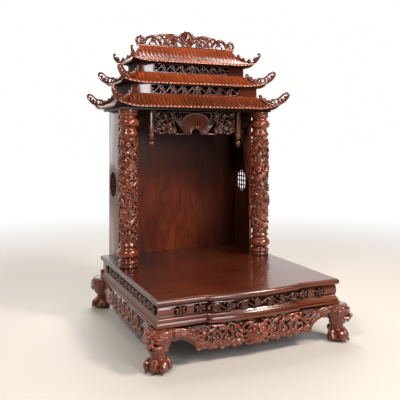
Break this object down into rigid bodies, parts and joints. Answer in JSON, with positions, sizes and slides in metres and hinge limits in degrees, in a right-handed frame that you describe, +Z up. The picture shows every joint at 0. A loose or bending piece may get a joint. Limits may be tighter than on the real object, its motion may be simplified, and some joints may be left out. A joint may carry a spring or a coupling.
{
  "type": "household altar cabinet",
  "caption": "Floor-standing wooden household altar: carved stand on lion legs, open-fronted niche between carved columns, tiled pagoda roof with curled corner horns.",
  "frame": {"origin": "bottom centre of the bounding box, on the floor under the feet", "axes": "+X to the right seen from the open front, +Y to the back, +Z up"},
  "size_m": [0.7674, 0.851, 1.1663],
  "materials": {
    "lacquered_wood": "red-brown wood under glossy clear lacquer",
    "carved_wood": "carved red-brown wood, semi-gloss lacquer, darker in the hollows",
    "roof_wood": "orange-brown ribbed wood, satin lacquer",
    "veneer": "dark red-brown flamed veneer, glossy"
  },
  "bodies": {
    "root": {"base_board": "lacquered_wood", "waist_front": "lacquered_wood", "waist_left": "lacquered_wood", "waist_right": "lacquered_wood", "waist_back": "lacquered_wood", "moulding_front": "lacquered_wood", "moulding_left": "lacquered_wood", "moulding_right": "lacquered_wood", "moulding_back": "lacquered_wood", "apron_front": "carved_wood", "apron_left": "carved_wood", "apron_right": "carved_wood", "apron_back": "lacquered_wood", "leg_front_left": "carved_wood", "leg_front_right": "carved_wood", "leg_back_left": "carved_wood", "leg_back_right": "carved_wood", "cabinet_side_left": "lacquered_wood", "cabinet_side_right": "lacquered_wood", "cabinet_back": "veneer", "cabinet_ceiling": "veneer", "column_left": "carved_wood", "column_right": "carved_wood", "valance": "carved_wood", "pendant_left": "carved_wood", "pendant_right": "carved_wood", "valance_tail_left": "carved_wood", "valance_tail_right": "carved_wood", "roof_lower": "roof_wood", "horn_lower_front_left": "carved_wood", "horn_lower_front_right": "carved_wood", "horn_lower_back_left": "carved_wood", "horn_lower_back_right": "carved_wood", "roof_middle": "roof_wood", "horn_middle_front_left": "carved_wood", "horn_middle_front_right": "carved_wood", "horn_middle_back_left": "carved_wood", "horn_middle_back_right": "carved_wood", "roof_upper": "roof_wood", "horn_upper_front_left": "carved_wood", "horn_upper_front_right": "carved_wood", "horn_upper_back_left": "carved_wood", "horn_upper_back_right": "carved_wood", "neck_lower_front": "lacquered_wood", "neck_lower_back": "lacquered_wood", "neck_lower_left": "lacquered_wood", "neck_lower_right": "lacquered_wood", "neck_upper_front": "lacquered_wood", "neck_upper_back": "lacquered_wood", "neck_upper_left": "lacquered_wood", "neck_upper_right": "lacquered_wood", "roof_crown": "carved_wood"}
  },
  "joints": []
}
